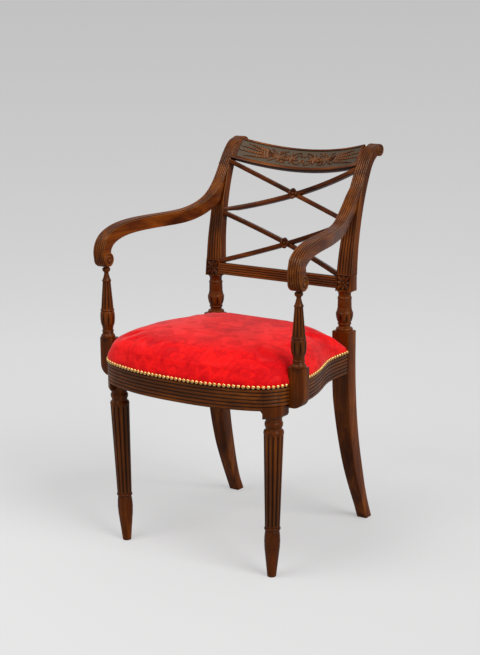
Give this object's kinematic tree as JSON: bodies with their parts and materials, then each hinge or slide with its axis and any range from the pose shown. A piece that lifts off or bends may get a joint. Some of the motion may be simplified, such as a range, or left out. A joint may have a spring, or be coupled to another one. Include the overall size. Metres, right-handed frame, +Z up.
{
  "type": "carved armchair",
  "caption": "Mahogany open armchair with scrolled reeded arms, crossed bars in the back, turned reeded front legs, sabre rear legs and a stuffed red seat.",
  "frame": {"origin": "middle of the chair's bounding box, on the floor", "axes": "+X to the right of a person looking at the front, +Y towards the back, +Z up"},
  "size_m": [0.5126, 0.5222, 0.839],
  "materials": {
    "mahogany": "dark, waxed and polished",
    "beech": "raw",
    "webbing": "woven jute",
    "seat_cover": "silk damask",
    "iron": "plain steel wood screws"
  },
  "bodies": {
    "root": {"arm_left": "mahogany", "arm_right": "mahogany", "arm_support_left": "mahogany", "arm_support_right": "mahogany", "crest_rail": "mahogany", "front_corner_block_left": "beech", "front_corner_block_right": "beech", "front_leg_left": "mahogany", "front_leg_right": "mahogany", "front_rail": "mahogany", "lower_bar_falling": "mahogany", "lower_bar_rising": "mahogany", "lower_rosette": "mahogany", "rear_corner_block_left": "beech", "rear_corner_block_right": "beech", "rear_post_left": "mahogany", "rear_post_right": "mahogany", "rear_rail": "mahogany", "side_rail_left": "mahogany", "side_rail_right": "mahogany", "stay_rail": "mahogany", "stuffed_seat": "seat_cover", "support_screw_left_1": "iron", "support_screw_left_2": "iron", "support_screw_right_1": "iron", "support_screw_right_2": "iron", "upper_bar_falling": "mahogany", "upper_bar_rising": "mahogany", "upper_rosette": "mahogany", "webbing_crosswise_1": "webbing", "webbing_crosswise_2": "webbing", "webbing_crosswise_3": "webbing", "webbing_lengthwise_1": "webbing", "webbing_lengthwise_2": "webbing", "webbing_lengthwise_3": "webbing"}
  },
  "joints": []
}
